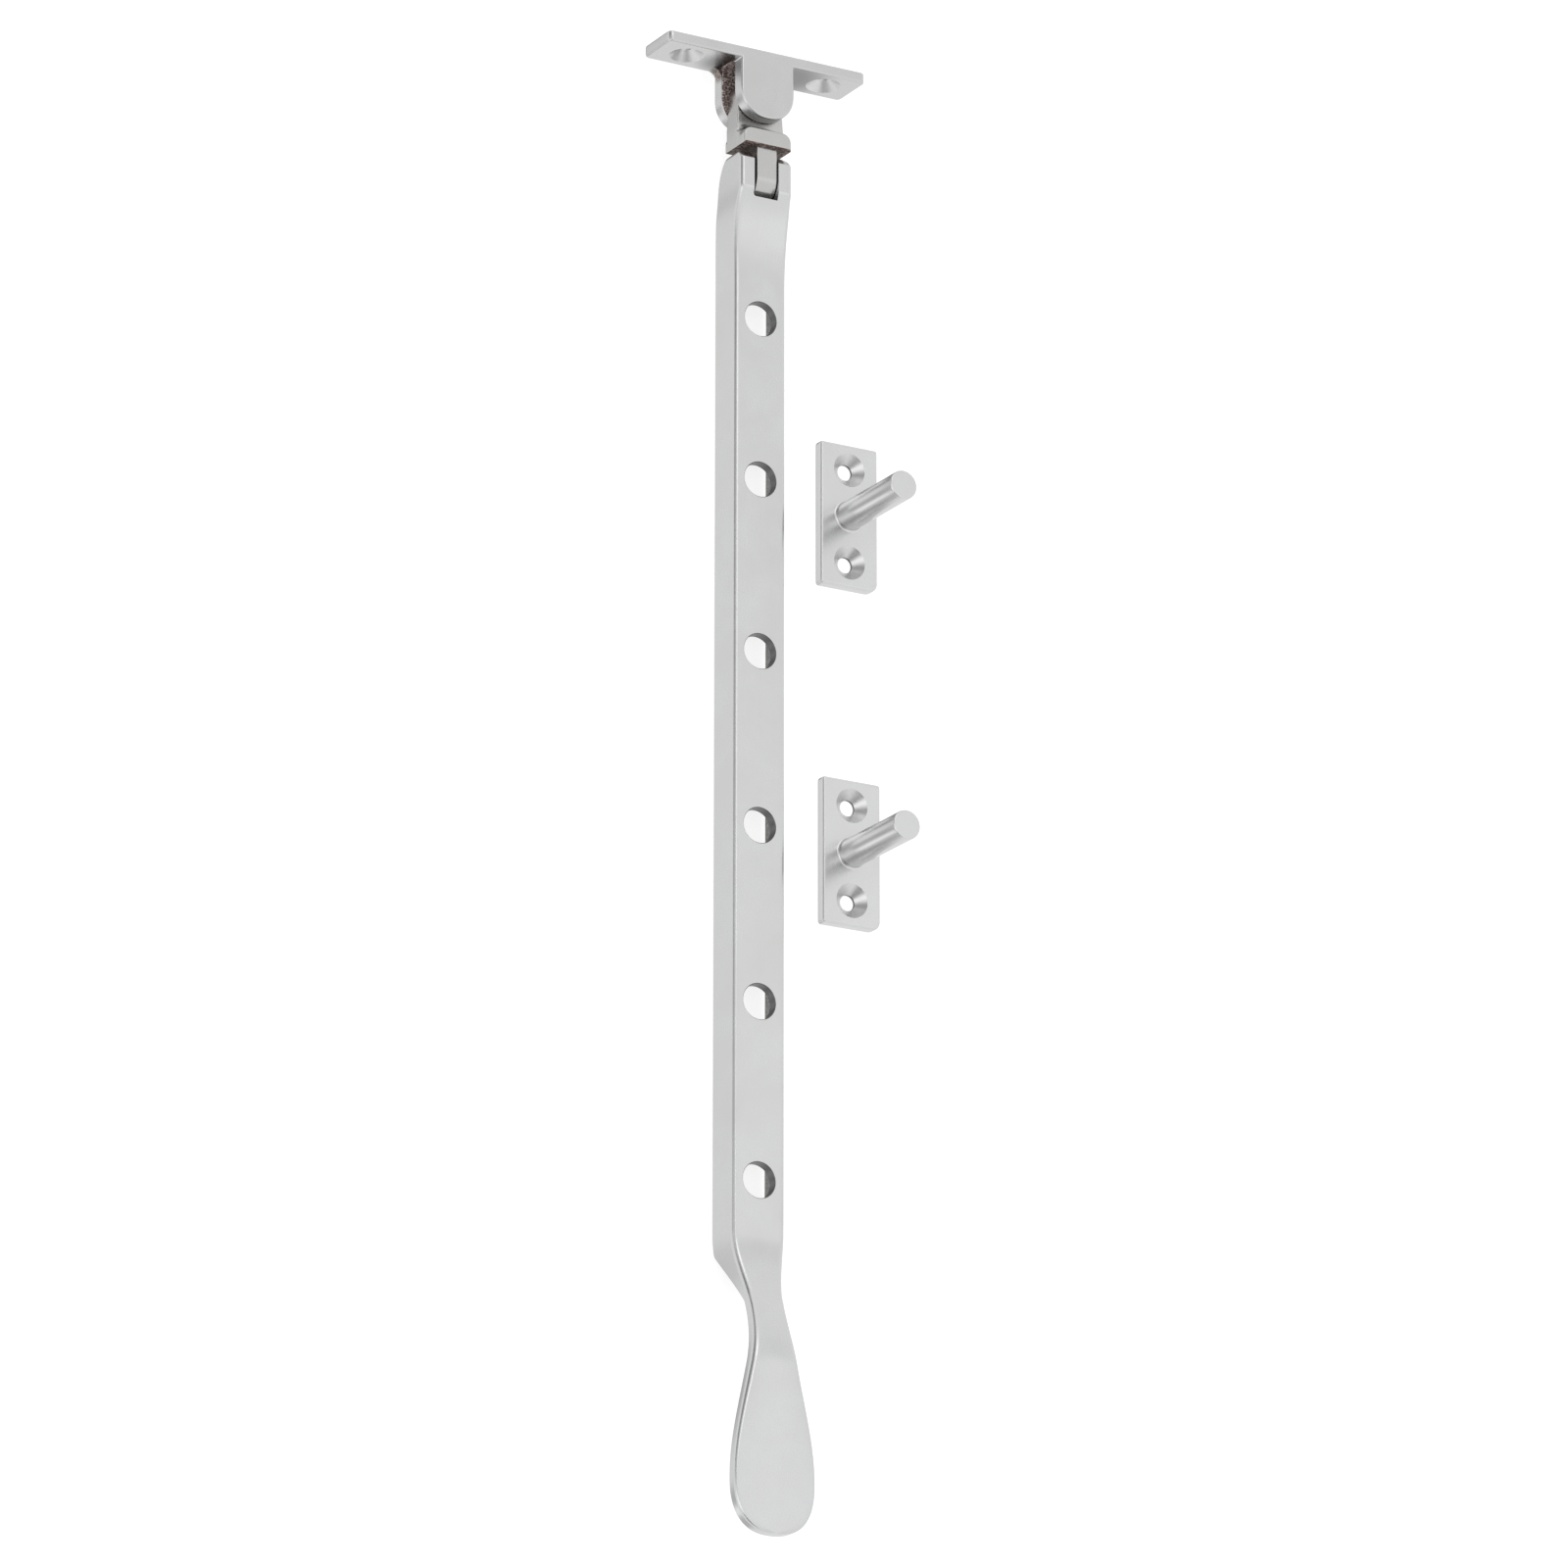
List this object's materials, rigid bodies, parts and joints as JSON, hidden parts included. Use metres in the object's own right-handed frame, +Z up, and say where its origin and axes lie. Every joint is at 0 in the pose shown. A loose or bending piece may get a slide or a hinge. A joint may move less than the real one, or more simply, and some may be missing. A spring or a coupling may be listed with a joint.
{
  "type": "casement window stay",
  "caption": "Casement window stay: holed channel-section arm with a spoon handle on a two-way swivel and screw-on bracket, with loose pegs.",
  "frame": {"origin": "Bottom centre of the bounding box, on the surface that the set lies on.", "axes": "+Y runs along the arm from the spoon handle to the fixing bracket, and out of the bracket's mounting face. +Z is up from the surface that the set lies on, out of the arm's front face. +X runs along the bracket's plate towards the side where the loose pegs lie."},
  "size_m": [0.0564, 0.3239, 0.0252],
  "materials": {
    "bracket_satin_chrome": "satin chrome plate on cast brass",
    "knuckle_satin_chrome": "satin chrome plate on cast brass, dark casting skin left in the crevices",
    "arm_satin_chrome": "satin chrome plate on cast brass, lightly brushed",
    "peg_satin_chrome": "satin chrome plate on cast brass",
    "pin_steel": "ground flush"
  },
  "bodies": {
    "bracket": {"fixing_bracket": "bracket_satin_chrome", "bracket_pivot_pin": "pin_steel"},
    "knuckle": {"swivel_knuckle": "knuckle_satin_chrome"},
    "stay_arm": {"arm": "arm_satin_chrome", "arm_pivot_pin": "pin_steel"},
    "upper_peg": {"peg_upper": "peg_satin_chrome"},
    "lower_peg": {"peg_lower": "peg_satin_chrome"}
  },
  "joints": [
    {"name": "bracket_pivot", "type": "hinge", "parent": "bracket", "child": "knuckle", "pos_m": [-0.00417, 0.152, 0.0056], "axis": [0, 0, -1], "range_deg": [-3, 90]},
    {"name": "arm_pivot", "type": "hinge", "parent": "knuckle", "child": "stay_arm", "pos_m": [-0.00417, 0.1335, 0.0056], "axis": [-1, 0, 0], "range_deg": [-90, 90]},
    {"name": "upper_peg_lift", "type": "slide", "parent": "bracket", "child": "upper_peg", "axis": [0, 0, 1], "range_m": [0, 0.05]},
    {"name": "lower_peg_lift", "type": "slide", "parent": "bracket", "child": "lower_peg", "axis": [0, 0, 1], "range_m": [0, 0.05]}
  ]
}
